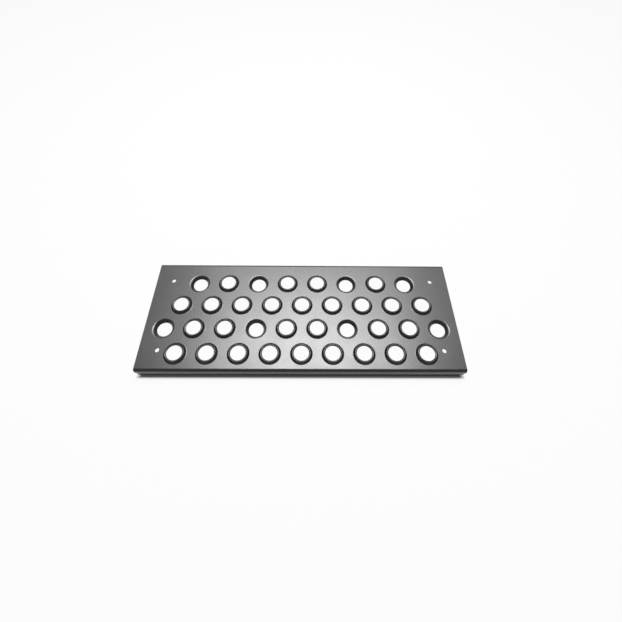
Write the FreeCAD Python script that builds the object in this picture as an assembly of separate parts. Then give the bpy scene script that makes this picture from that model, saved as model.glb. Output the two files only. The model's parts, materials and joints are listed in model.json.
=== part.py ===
import FreeCAD, Part
import math
import os

# Folded sheet steel step tread: a flat deck with pressed anti-slip collars and two folded flanges.
# Millimetres. X runs along the tread, the front edge faces -Y, and the flanges stand on Z = 0.

# Sheet and folds
deck_length = 600.0
deck_depth = 232.0
flange_height = 28.0
sheet_thickness = 3.0
fold_inside_radius = 3.0
flange_corner_radius = 4.0

# Bolt holes, one near each corner of the deck
bolt_hole_diameter = 8.4
bolt_end_inset = 34.0
bolt_front_inset = 40.0
bolt_back_inset = 42.0

# Pressed collars: grip collars stand up from the deck, drain collars hang below it
opening_diameter = 28.0
rim_rise = 5.5
wall_angle = 55.0
press_radius = 2.0

# Pattern of collars, counted in rows from the front edge
front_row_inset = 33.5
row_spacing = 50.0
front_row_pitch = 57.8
pitch_growth_per_row = 0.85
flat_margin = 5.0
inner_drain_step = 1.5

# Sizes that follow from those above
fold_outside_radius = fold_inside_radius + sheet_thickness
half_length = deck_length / 2
half_depth = deck_depth / 2
wall_slope = math.radians(wall_angle)
wall_run = (rim_rise - press_radius * (1 - math.cos(wall_slope))) / math.sin(wall_slope)
foot_radius = press_radius + sheet_thickness
collar_radius = opening_diameter / 2 + foot_radius * math.sin(wall_slope) + wall_run * math.cos(wall_slope)


def vec(x, y, z):
    return FreeCAD.Vector(x, y, z)


def line(start, end):
    return Part.LineSegment(start, end).toShape()


def arc(centre, radius, start_angle, mid_angle, end_angle):
    """Arc in the XZ plane about a centre given as (x, z), with angles measured from +X towards +Z."""
    points = []
    for angle in (start_angle, mid_angle, end_angle):
        points.append(vec(centre[0] + radius * math.cos(angle), 0, centre[1] + radius * math.sin(angle)))
    return Part.Arc(*points).toShape()


def folded_sheet():
    """Channel section of the folded sheet, swept along the tread, with the flanges' free corners rounded."""
    def section(inset, radius):
        side = half_depth - inset
        top = flange_height - inset
        turn = half_depth - fold_outside_radius
        bend = radius * math.sqrt(0.5)
        fold_z = flange_height - fold_outside_radius
        front = Part.Arc(vec(0, -side, fold_z), vec(0, -turn - bend, fold_z + bend), vec(0, -turn, top))
        back = Part.Arc(vec(0, turn, top), vec(0, turn + bend, fold_z + bend), vec(0, side, fold_z))
        return [
            line(vec(0, -side, 0), vec(0, -side, fold_z)),
            front.toShape(),
            line(vec(0, -turn, top), vec(0, turn, top)),
            back.toShape(),
            line(vec(0, side, fold_z), vec(0, side, 0)),
        ]

    inner_side = half_depth - sheet_thickness
    cut_edges = [
        line(vec(0, -half_depth, 0), vec(0, -inner_side, 0)),
        line(vec(0, half_depth, 0), vec(0, inner_side, 0)),
    ]
    outside = section(0, fold_outside_radius)
    inside = section(sheet_thickness, fold_inside_radius)
    outline = Part.Wire(Part.__sortEdges__(outside + inside + cut_edges))
    sheet = Part.Face(outline).extrude(vec(deck_length, 0, 0))
    sheet.translate(vec(-half_length, 0, 0))
    return sheet.makeFillet(flange_corner_radius, flange_corners(sheet))


def flange_corners(sheet):
    """The short edges through the sheet where each flange's cut edge meets an end of the tread."""
    near = sheet_thickness / 100
    corners = []
    for edge in sheet.Edges:
        box = edge.BoundBox
        across_sheet = box.XLength < near and box.ZLength < near
        if across_sheet and abs(box.ZMin) < near:
            corners.append(edge)
    return corners


def grip_collar():
    """Collar pressed up out of the sheet: the foot's bend, a sloping wall and the pierced edge square to it."""
    centre = (collar_radius, press_radius)
    down = -math.pi / 2
    wall_start = down - wall_slope
    mid = down - wall_slope / 2
    top_foot = arc(centre, press_radius, down, mid, wall_start)
    under_foot = arc(centre, foot_radius, down, mid, wall_start)
    climb = vec(-wall_run * math.cos(wall_slope), 0, wall_run * math.sin(wall_slope))
    top_wall = top_foot.valueAt(top_foot.LastParameter)
    under_wall = under_foot.valueAt(under_foot.LastParameter)
    edges = [
        line(vec(collar_radius, 0, -sheet_thickness), vec(collar_radius, 0, 0)),
        top_foot,
        line(top_wall, top_wall + climb),
        line(top_wall + climb, under_wall + climb),
        line(under_wall + climb, under_wall),
        under_foot,
    ]
    profile = Part.Face(Part.Wire(Part.__sortEdges__(edges)))
    return profile.revolve(vec(0, 0, 0), vec(0, 0, 1), 360)


def drain_collar():
    """The same collar pressed the other way, out of the underside of the sheet."""
    collar = grip_collar()
    collar.rotate(vec(0, 0, -sheet_thickness / 2), vec(1, 0, 0), 180)
    return collar


def bolt_positions():
    x = half_length - bolt_end_inset
    front = bolt_front_inset - half_depth
    back = half_depth - bolt_back_inset
    return [vec(-x, front, 0), vec(x, front, 0), vec(-x, back, 0), vec(x, back, 0)]


def row_places(row, bolts):
    """Places along one row as (steps from the middle, position), clear of the deck's ends and of the bolts."""
    pitch = front_row_pitch + pitch_growth_per_row * row
    y = front_row_inset - half_depth + row_spacing * row
    stagger = 0.5 * (row % 2)
    reach = half_length - flat_margin - collar_radius
    last = math.floor(reach / pitch - stagger)
    places = []
    for index in range(-last, last + 1 + row % 2):
        step = index - stagger
        place = vec(step * pitch, y, 0)
        room = min(place.distanceToPoint(bolt) for bolt in bolts)
        if room > collar_radius + flat_margin + bolt_hole_diameter / 2:
            places.append((step, place))
    return places


def collar_places():
    """Positions of the grip collars and of the drain collars, which sit in every second row."""
    bolts = bolt_positions()
    depth_left = deck_depth - front_row_inset - fold_outside_radius - collar_radius - flat_margin
    rows = math.floor(depth_left / row_spacing) + 1
    grips = []
    drains = []
    for row in range(rows):
        places = row_places(row, bolts)
        outer_step = max(step for step, place in places)
        for step, place in places:
            is_drain = row % 2 == 1 and abs(step) in (inner_drain_step, outer_step)
            (drains if is_drain else grips).append(place)
    return grips, drains


def pressed_tread():
    grips, drains = collar_places()
    deck_top = vec(0, 0, flange_height)
    under_deck = vec(0, 0, flange_height - sheet_thickness)
    up = vec(0, 0, 1)
    blanks = []
    collars = []
    for places, collar in ((grips, grip_collar()), (drains, drain_collar())):
        for place in places:
            blanks.append(Part.makeCylinder(collar_radius, sheet_thickness, place + under_deck, up))
            pressed = collar.copy()
            pressed.translate(place + deck_top)
            collars.append(pressed)
    for bolt in bolt_positions():
        blanks.append(Part.makeCylinder(bolt_hole_diameter / 2, sheet_thickness, bolt + under_deck, up))
    return folded_sheet().cut(blanks).fuse(collars).removeSplitter()


os.makedirs("parts", exist_ok=True)
tread = pressed_tread()
tread.Solids[0].exportStep("parts/tread_plate.step")
print("solids", len(tread.Solids), "valid", tread.isValid(), "volume mm3", round(tread.Volume, 1))
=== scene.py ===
import json
import math

import bpy
import numpy as np
from mathutils.geometry import delaunay_2d_cdt
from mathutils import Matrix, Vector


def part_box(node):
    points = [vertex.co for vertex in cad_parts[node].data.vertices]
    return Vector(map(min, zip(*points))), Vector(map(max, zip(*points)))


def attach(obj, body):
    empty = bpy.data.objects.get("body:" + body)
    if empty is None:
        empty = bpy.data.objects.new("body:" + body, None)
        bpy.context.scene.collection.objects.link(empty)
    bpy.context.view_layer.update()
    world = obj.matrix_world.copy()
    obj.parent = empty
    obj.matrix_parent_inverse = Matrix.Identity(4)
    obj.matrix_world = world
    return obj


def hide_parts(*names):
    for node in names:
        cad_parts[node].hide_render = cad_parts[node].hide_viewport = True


# Satin black step tread, pressed and folded from one steel sheet, on a white studio floor.
# Metres. X runs along the tread, the front edge faces -Y, and the flanges stand on Z = 0.

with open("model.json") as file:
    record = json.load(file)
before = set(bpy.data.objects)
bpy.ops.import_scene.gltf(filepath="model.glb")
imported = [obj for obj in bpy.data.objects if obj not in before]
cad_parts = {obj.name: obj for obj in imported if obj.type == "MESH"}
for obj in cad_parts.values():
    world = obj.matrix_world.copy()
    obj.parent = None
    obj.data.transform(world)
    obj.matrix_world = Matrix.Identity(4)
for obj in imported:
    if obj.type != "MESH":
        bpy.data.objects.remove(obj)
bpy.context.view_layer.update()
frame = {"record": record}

MM = 0.001
QUARTER_TURN = math.pi / 2
WHITE = (1, 1, 1, 1)

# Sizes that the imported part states
node_low, node_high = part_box("tread_plate")
mounts = {mount["name"]: mount for mount in frame["record"]["mounts"]}
bolt_pattern = mounts["bolt_holes"]
bolt_radius = bolt_pattern["dims"]["hole_r_mm"] * MM
deck_top = bolt_pattern["pos_m"][2]
sheet_thickness = deck_top - mounts["deck_underside"]["pos_m"][2]
rim_rise = node_high.z - deck_top
half_length = (node_high.x - node_low.x) / 2
half_depth = (node_high.y - node_low.y) / 2

# Sizes of the folds, the collars and their pattern, as in the part's source
fold_inside_radius = 3 * MM
flange_corner_radius = 4 * MM
opening_diameter = 28 * MM
wall_slope = math.radians(55)
press_radius = 2 * MM
front_row_inset = 33.5 * MM
row_spacing = 50 * MM
front_row_pitch = 57.8 * MM
pitch_growth_per_row = 0.85 * MM
collars_in_row = (9, 10, 9, 8)
inner_drain_step = 1.5

# Paint softens every cut edge, and pressing rolls over the upper edge of each rim
edge_radius = 0.4 * MM
rim_edge_radius = 0.8 * MM

# Sizes that follow from those above
fold_radius = fold_inside_radius + sheet_thickness
fold_length = fold_radius * QUARTER_TURN
half_deck_flat = half_depth - fold_radius
flange_flat = deck_top - fold_radius
half_girth = half_deck_flat + fold_length + flange_flat
foot_radius = press_radius + sheet_thickness
wall_run = (rim_rise - press_radius * (1 - math.cos(wall_slope))) / math.sin(wall_slope)
collar_radius = opening_diameter / 2 + foot_radius * math.sin(wall_slope) + wall_run * math.cos(wall_slope)

# How finely the surfaces are divided, and how closely two places have to agree to be the same one
COLLAR_SEGMENTS = 64
BOLT_SEGMENTS = 40
FOOT_STEPS = 6
EDGE_STEPS = 4
FOLD_STEPS = 10
CORNER_STEPS = 8
LENGTH_STEPS = 60
DECK_STEPS = 22
PLACE_DIGITS = 7
MERGE_DISTANCE = 1e-9

# Black paint: its relief, and the patches in which its colour and roughness change
PEEL_WAVELENGTH = 2.6 * MM
PEEL_HEIGHT = 0.07 * MM
SHEET_WAVELENGTH = 70 * MM
SHEET_WAVE_HEIGHT = 0.25 * MM
COLOUR_WAVELENGTH = 45 * MM
DARKEST_BLACK = (0.012, 0.012, 0.0128, 1)
PALEST_BLACK = (0.017, 0.017, 0.0179, 1)
ROUGHNESS_WAVELENGTH = 30 * MM
LEAST_ROUGHNESS = 0.28
MOST_ROUGHNESS = 0.33
PAINT_IOR = 1.5

# A noise texture's values lie mostly between these two
NOISE_LOW = 0.3
NOISE_HIGH = 0.7

# White floor, with its rings: how far each reaches past the tread's sides, and its share of plain white. The
# plain white is a glow, painted light laid over the floor's own light and shade
FLOOR_COLOUR = (0.93, 0.93, 0.93, 1)
FLOOR_RINGS = (
    # Under the tread the floor glows almost fully white: painted light over the tread's shadow, which shows
    # white through the holes
    (-9 * MM, 0.97),
    # At the tread's foot nothing glows, so the real shadow shows only in this narrow band
    (-4 * MM, 0.0),
    (3 * MM, 0.0),
    (6 * MM, 0.75),
    (8 * MM, 0.93),
    (12.0, 0.93),
)

# Distances from the tread's middle between which the plain white fades, and the part of it that is left
FADE_START = 2.1
FADE_END = 6.0
FADE_REST = 0.338

# Every softbox has its front edge over the same line along the deck, and is centred a little to the right
SOFTBOX_FRONT = 0.05
SOFTBOX_SHIFT = 0.01

# A flat lamp's power in watts, for each square metre of it and each unit of radiance
POWER_PER_RADIANCE = math.pi

# Camera: the lens in millimetres, the place in metres and the turns about X, Y and Z in degrees
FOCAL_LENGTH = 16.688
SENSOR_WIDTH = 36.0
CAMERA_PLACE = (0.01246, -0.24724, 0.53787)
CAMERA_TURNS = (26.349, -0.585, -0.029)


class Skin:
    """Points, normals and faces of the sheet's closed surface."""

    def __init__(self):
        self.points = []
        self.normals = []
        self.faces = []

    def add_point(self, point, normal):
        """Adds a point with its normal, and returns its number."""
        self.points.append(point)
        self.normals.append(normal)
        return len(self.points) - 1

    def add_band(self, rings):
        """Quads between each closed ring of points and the next, with the sheet on the rings' left."""
        for ring, next_ring in zip(rings, rings[1:]):
            for i in range(len(ring)):
                self.faces.append((ring[i - 1], next_ring[i - 1], next_ring[i], ring[i]))


def across(u):
    """Place (y, z) on the sheet's outer face, and the normal's y and z there.

    u is the distance from the deck's middle, measured along the outer face and over the folds.
    """
    side = math.copysign(1, u)
    past_deck = abs(u) - half_deck_flat
    turn = min(max(past_deck / fold_radius, 0), QUARTER_TURN)
    drop = max(past_deck - fold_length, 0)
    y = min(abs(u), half_deck_flat) + fold_radius * math.sin(turn)
    z = deck_top - fold_radius * (1 - math.cos(turn)) - drop
    return side * y, z, side * math.sin(turn), math.cos(turn)


def on_sheet(x, u, depth=0.0):
    """Point at a depth under the outer face, the outer face's normal and its direction of growing u."""
    y, z, normal_y, normal_z = across(u)
    point = (x, y - depth * normal_y, z - depth * normal_z)
    return point, np.array((0, normal_y, normal_z)), np.array((0, normal_z, -normal_y))


def edge_profile(outer_radius):
    """Section of a cut edge with both corners softened, from the outer face to the inner one.

    Each point is (inset, depth, turn from the outer face's normal).
    """
    outer_corner = (0, outer_radius, 0)
    inner_corner = (QUARTER_TURN, edge_radius, sheet_thickness - 2 * edge_radius)
    profile = []
    for first_turn, radius, base in (outer_corner, inner_corner):
        for step in range(EDGE_STEPS + 1):
            turn = first_turn + step / EDGE_STEPS * QUARTER_TURN
            inset = radius * (1 - math.sin(turn))
            depth = base + radius * (1 - math.cos(turn))
            profile.append((inset, depth, turn))
    return profile


def cut_edge(skin, loop):
    """Band round a cut edge, whose loop holds (x, u, outward x, outward u) with the sheet on its left."""
    rings = []
    for inset, depth, turn in edge_profile(edge_radius):
        ring = []
        for x, u, out_x, out_u in loop:
            point, normal, along = on_sheet(x - out_x * inset, u - out_u * inset, depth)
            outward = np.array((out_x, 0, 0)) + out_u * along
            ring.append(skin.add_point(point, math.cos(turn) * normal + math.sin(turn) * outward))
        rings.append(ring)
    skin.add_band(rings)
    return rings


def collar_profile():
    """Section of a raised collar, from the deck's top face over the rim to the underside.

    Each point is (radius, height over the deck, normal's outward part, normal's upward part).
    """
    def foot(radius, facing, turn):
        """Point on the foot's bend, on the top face (facing 1) or on the underside (facing -1)."""
        across_foot = collar_radius - radius * math.sin(turn)
        height = press_radius - radius * math.cos(turn)
        return across_foot, height, facing * math.sin(turn), facing * math.cos(turn)

    turns = [wall_slope * step / FOOT_STEPS for step in range(FOOT_STEPS + 1)]
    profile = [foot(press_radius, 1, turn) for turn in turns]
    wall_normal = np.array((math.sin(wall_slope), math.cos(wall_slope)))
    wall_climb = np.array((-math.cos(wall_slope), math.sin(wall_slope)))
    rim = np.array(profile[-1][:2]) + wall_run * wall_climb
    for inset, depth, turn in edge_profile(rim_edge_radius):
        point = rim - inset * wall_climb - depth * wall_normal
        normal = math.cos(turn) * wall_normal + math.sin(turn) * wall_climb
        profile.append((*point, *normal))
    profile += [foot(foot_radius, -1, turn) for turn in reversed(turns)]
    return profile


def drain_profile():
    """The same section pressed the other way, out of the underside, listed from the deck's top face."""
    flipped = []
    for radius, height, normal_out, normal_up in reversed(collar_profile()):
        flipped.append((radius, -sheet_thickness - height, normal_out, -normal_up))
    return flipped


def clockwise(segments):
    """Directions round a hole, clockwise seen from above, so that the sheet is on their left."""
    angles = [-math.tau * i / segments for i in range(segments)]
    return [(math.cos(angle), math.sin(angle)) for angle in angles]


def pressed_collar(skin, x, y, profile):
    """Band of one collar round (x, y), from the deck's top face to its underside."""
    rings = []
    for radius, height, normal_out, normal_up in profile:
        ring = []
        for dir_x, dir_y in clockwise(COLLAR_SEGMENTS):
            point = (x + radius * dir_x, y + radius * dir_y, deck_top + height)
            ring.append(skin.add_point(point, np.array((normal_out * dir_x, normal_out * dir_y, normal_up))))
        rings.append(ring)
    skin.add_band(rings)
    return rings


def collar_places():
    """Yields (x, y, is a drain) for each collar, row by row from the front."""
    for row, count in enumerate(collars_in_row):
        pitch = front_row_pitch + pitch_growth_per_row * row
        y = front_row_inset - half_depth + row_spacing * row
        outer_step = (count - 1) / 2
        for index in range(count):
            step = index - outer_step
            is_drain = row % 2 == 1 and abs(step) in (inner_drain_step, outer_step)
            yield step * pitch, y, is_drain


def bolt_places():
    """Places (x, y) of the four bolt holes."""
    middle_x, middle_y = bolt_pattern["pos_m"][:2]
    reach_x = bolt_pattern["dims"]["spacing_x_mm"] * MM / 2
    reach_y = bolt_pattern["dims"]["spacing_y_mm"] * MM / 2
    return [(middle_x + i * reach_x, middle_y + j * reach_y) for i in (-1, 1) for j in (-1, 1)]


def fold_lines():
    """Values of u on each line along the folds, front fold first."""
    steps = [half_deck_flat + fold_length * i / FOLD_STEPS for i in range(FOLD_STEPS + 1)]
    return [-u for u in reversed(steps)] + steps


def sheet_outline():
    """Loop round the unfolded sheet, anticlockwise, as (x, u, outward x, outward u)."""
    corner_x = half_length - flange_corner_radius
    corner_u = half_girth - flange_corner_radius
    deck_lines = np.linspace(-half_deck_flat, half_deck_flat, DECK_STEPS + 1)[1:-1]
    end_lines = sorted([*fold_lines(), *deck_lines, -corner_u, corner_u])
    edge_lines = np.linspace(-corner_x, corner_x, LENGTH_STEPS + 1)
    right = [(half_length, u, 1, 0) for u in end_lines]
    back = [(x, half_girth, 0, 1) for x in reversed(edge_lines)]
    left = [(-half_length, u, -1, 0) for u in reversed(end_lines)]
    front = [(x, -half_girth, 0, -1) for x in edge_lines]

    def corner(side_x, side_u, first_turn):
        points = []
        for step in range(1, CORNER_STEPS):
            turn = first_turn + step / CORNER_STEPS * QUARTER_TURN
            out_x = math.cos(turn)
            out_u = math.sin(turn)
            place_x = side_x * corner_x + flange_corner_radius * out_x
            place_u = side_u * corner_u + flange_corner_radius * out_u
            points.append((place_x, place_u, out_x, out_u))
        return points

    return (right + corner(1, 1, 0) + back + corner(-1, 1, QUARTER_TURN)
            + left + corner(-1, -1, 2 * QUARTER_TURN) + front + corner(1, -1, 3 * QUARTER_TURN))


def sheet_faces(skin, holes, outline):
    """Triangles of the outer and inner faces between the outline, the fold lines and the holes.

    Each place (x, u) has a point on the outer face, one on the inner face and the hole that it edges, if any.
    """
    places = []
    outer = []
    inner = []
    hole_of = []

    def add(place, outer_point, inner_point, hole):
        places.append(place)
        outer.append(outer_point)
        inner.append(inner_point)
        hole_of.append(hole)
        return len(places) - 1

    def ring_places(ring):
        return [skin.points[index][:2] for index in ring]

    def key(x, u):
        return round(x, PLACE_DIGITS), round(u, PLACE_DIGITS)

    edges = []
    loops = [(outline["places"], outline["rings"], None)]
    loops += [(ring_places(rings[0]), rings, number) for number, rings in enumerate(holes)]
    for flat, rings, hole in loops:
        loop = [add(*point, hole) for point in zip(flat, rings[0], rings[-1])]
        edges += [(loop[i - 1], loop[i]) for i in range(len(loop))]

    at_place = {key(x, u): index for index, (x, u) in enumerate(places)}
    end_x = half_length - edge_radius
    for u in fold_lines():
        line = [at_place[key(-end_x, u)]]
        for x in np.linspace(-end_x, end_x, LENGTH_STEPS + 1)[1:-1]:
            outer_place, normal = on_sheet(x, u)[:2]
            inner_place = on_sheet(x, u, sheet_thickness)[0]
            outer_point = skin.add_point(outer_place, normal)
            inner_point = skin.add_point(inner_place, -normal)
            line.append(add((x, u), outer_point, inner_point, None))
        line.append(at_place[key(end_x, u)])
        edges += list(zip(line, line[1:]))

    inside_constraints = 1
    cut = delaunay_2d_cdt(places, edges, [], inside_constraints, MERGE_DISTANCE)
    triangles, originals = cut[2:4]
    for triangle in triangles:
        corners = [originals[corner][0] for corner in triangle]
        touched = {hole_of[corner] for corner in corners}
        inside_a_hole = len(touched) == 1 and None not in touched
        if inside_a_hole:
            continue
        skin.faces.append([outer[corner] for corner in corners])
        skin.faces.append([inner[corner] for corner in reversed(corners)])


def tread_mesh():
    """The whole sheet as one closed mesh, with the true normals of its surfaces."""
    skin = Skin()
    loop = sheet_outline()
    outline = {
        "rings": cut_edge(skin, loop),
        "places": [(x - out_x * edge_radius, u - out_u * edge_radius) for x, u, out_x, out_u in loop],
    }
    holes = []
    for x, y, is_drain in collar_places():
        profile = drain_profile() if is_drain else collar_profile()
        holes.append(pressed_collar(skin, x, y, profile))
    for x, y in bolt_places():
        loop = []
        for dir_x, dir_y in clockwise(BOLT_SEGMENTS):
            loop.append((x + bolt_radius * dir_x, y + bolt_radius * dir_y, -dir_x, -dir_y))
        holes.append(cut_edge(skin, loop))
    sheet_faces(skin, holes, outline)
    mesh = bpy.data.meshes.new("painted_tread")
    mesh.from_pydata(skin.points, [], skin.faces)
    mesh.shade_smooth()
    mesh.normals_split_custom_set_from_vertices(skin.normals)
    return mesh


def node(tree, kind, settings=None, **inputs):
    """Adds a shader node, with its settings and its inputs' values or links."""
    made = tree.nodes.new(kind)
    for name, value in (settings or {}).items():
        setattr(made, name, value)
    for name, value in inputs.items():
        socket = made.inputs[name.replace("_", " ")]
        if isinstance(value, bpy.types.NodeSocket):
            tree.links.new(value, socket)
        else:
            socket.default_value = value
    return made


def math_node(tree, operation, first, second):
    """Adds a math node that works on two other nodes' outputs."""
    made = node(tree, "ShaderNodeMath", {"operation": operation})
    for socket, value in zip(made.inputs, (first, second)):
        tree.links.new(value, socket)
    return made.outputs["Value"]


def new_material(name):
    material = bpy.data.materials.new(name)
    material.use_nodes = True
    material.node_tree.nodes.clear()
    return material, material.node_tree


def black_paint():
    """Satin black paint: orange peel over the pressed sheet's slow waves, and uneven colour and sheen."""
    material, tree = new_material("black_paint")
    place = node(tree, "ShaderNodeTexCoord").outputs["Object"]

    def noise(wavelength, detail):
        made = node(tree, "ShaderNodeTexNoise", Vector=place, Scale=1 / wavelength, Detail=detail)
        return made.outputs["Fac"]

    def spread(value, low, high):
        made = node(tree, "ShaderNodeMapRange", Value=value, From_Min=NOISE_LOW, From_Max=NOISE_HIGH,
                    To_Min=low, To_Max=high)
        return made.outputs["Result"]

    colour = node(tree, "ShaderNodeValToRGB", Fac=spread(noise(COLOUR_WAVELENGTH, detail=4), 0, 1))
    dark, pale = colour.color_ramp.elements
    dark.color = DARKEST_BLACK
    pale.color = PALEST_BLACK
    roughness = spread(noise(ROUGHNESS_WAVELENGTH, detail=3), LEAST_ROUGHNESS, MOST_ROUGHNESS)

    waves = node(tree, "ShaderNodeBump", Height=noise(SHEET_WAVELENGTH, detail=1),
                 Distance=SHEET_WAVE_HEIGHT, Strength=1.0)
    peel = node(tree, "ShaderNodeBump", Height=noise(PEEL_WAVELENGTH, detail=2),
                Distance=PEEL_HEIGHT, Strength=1.0, Normal=waves.outputs["Normal"])
    paint = node(tree, "ShaderNodeBsdfPrincipled", Base_Color=colour.outputs["Color"],
                 Roughness=roughness, IOR=PAINT_IOR, Normal=peel.outputs["Normal"])
    node(tree, "ShaderNodeOutputMaterial", Surface=paint.outputs["BSDF"])
    return material


def seen_ray(tree):
    """1 where a surface is seen, also in a reflection or through glass, and 0 where it only gives light."""
    path = node(tree, "ShaderNodeLightPath").outputs
    seen = math_node(tree, "MAXIMUM", path["Is Camera Ray"], path["Is Glossy Ray"])
    return math_node(tree, "MAXIMUM", seen, path["Is Transmission Ray"])


def white_floor_paint():
    """White floor: a share of it glows plain white where it is seen, painted light over its shade and shadow,
    and the rest takes light and shadow.

    Far from the tread the share falls off, so that the floor meets the backdrop's grey without an edge.
    """
    material, tree = new_material("white_floor")
    share = node(tree, "ShaderNodeAttribute", {"attribute_name": "white_share"}).outputs["Fac"]
    surface = node(tree, "ShaderNodeBsdfDiffuse", Color=FLOOR_COLOUR)
    glow = node(tree, "ShaderNodeEmission", Color=WHITE, Strength=1.0)
    place = node(tree, "ShaderNodeTexCoord").outputs["Object"]
    distance = node(tree, "ShaderNodeVectorMath", {"operation": "LENGTH"}, Vector=place).outputs["Value"]
    fade = node(tree, "ShaderNodeMapRange", {"interpolation_type": "SMOOTHSTEP"}, Value=distance,
                From_Min=FADE_START, From_Max=FADE_END, To_Min=1.0, To_Max=FADE_REST).outputs["Result"]
    white = math_node(tree, "MULTIPLY", share, fade)
    mix = node(tree, "ShaderNodeMixShader", Fac=math_node(tree, "MULTIPLY", seen_ray(tree), white))
    tree.links.new(surface.outputs["BSDF"], mix.inputs[1])
    tree.links.new(glow.outputs["Emission"], mix.inputs[2])
    node(tree, "ShaderNodeOutputMaterial", Surface=mix.outputs["Shader"])
    return material


def add_floor():
    """Floor in oblong rings round the tread. Under the tread it glows almost all white, painted light over
    the tread's shadow; at its foot nothing glows, so the shadow stays.
    """
    corners = []
    shares = []
    for reach, share in FLOOR_RINGS:
        x = half_length + reach
        y = half_depth + reach
        corners += [(-x, -y, 0), (x, -y, 0), (x, y, 0), (-x, y, 0)]
        shares += [share] * 4
    faces = [(0, 1, 2, 3)]
    for first in range(0, len(corners) - 4, 4):
        for side in range(4):
            inner = first + side
            inner_next = first + (side + 1) % 4
            faces.append((inner, inner + 4, inner_next + 4, inner_next))
    mesh = bpy.data.meshes.new("studio_floor")
    mesh.from_pydata(corners, [], faces)
    mesh.attributes.new("white_share", "FLOAT", "POINT").data.foreach_set("value", shares)
    mesh.materials.append(white_floor_paint())
    floor = bpy.data.objects.new("studio_floor", mesh)
    bpy.context.scene.collection.objects.link(floor)


def add_softbox(name, height, width, back, radiance, only_sheen=False):
    """Flat lamp at a height over the deck, facing down. It can show in the paint's sheen alone."""
    lamp = bpy.data.lights.new(name, "AREA")
    lamp.shape = "RECTANGLE"
    lamp.size = width
    lamp.size_y = back - SOFTBOX_FRONT
    lamp.energy = POWER_PER_RADIANCE * width * lamp.size_y * radiance
    softbox = bpy.data.objects.new(name, lamp)
    softbox.location = (SOFTBOX_SHIFT, (SOFTBOX_FRONT + back) / 2, deck_top + height)
    softbox.visible_camera = False
    softbox.visible_diffuse = not only_sheen
    bpy.context.scene.collection.objects.link(softbox)


def add_camera():
    lens = bpy.data.cameras.new("photo_camera")
    lens.lens = FOCAL_LENGTH
    lens.sensor_width = SENSOR_WIDTH
    camera = bpy.data.objects.new("photo_camera", lens)
    camera.location = CAMERA_PLACE
    camera.rotation_euler = [math.radians(turn) for turn in CAMERA_TURNS]
    bpy.context.scene.collection.objects.link(camera)
    bpy.context.scene.camera = camera


def set_world(light, seen):
    """White air that gives a little light all round, and shows as a plain grey backdrop."""
    world = bpy.data.worlds.new("studio_air")
    world.use_nodes = True
    tree = world.node_tree
    background = tree.nodes["Background"]
    background.inputs["Color"].default_value = WHITE
    level = node(tree, "ShaderNodeMapRange", Value=seen_ray(tree), To_Min=light, To_Max=seen)
    tree.links.new(level.outputs["Result"], background.inputs["Strength"])
    bpy.context.scene.world = world


tread = bpy.data.objects.new("painted_tread", tread_mesh())
tread.data.materials.append(black_paint())
bpy.context.scene.collection.objects.link(tread)
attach(tread, "root")
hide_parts("tread_plate")

add_floor()
add_softbox("softbox", height=1.20, width=1.3, back=1.1, radiance=5.0)
add_softbox("sheen_wide", height=1.21, width=2.2, back=1.5, radiance=2.75, only_sheen=True)
add_softbox("sheen_middle", height=1.22, width=1.2, back=0.55, radiance=9.0, only_sheen=True)
add_softbox("sheen_core", height=1.23, width=0.6, back=0.8, radiance=6.8, only_sheen=True)
set_world(light=0.12, seen=0.4)
add_camera()
bpy.context.scene.view_settings.view_transform = "Standard"
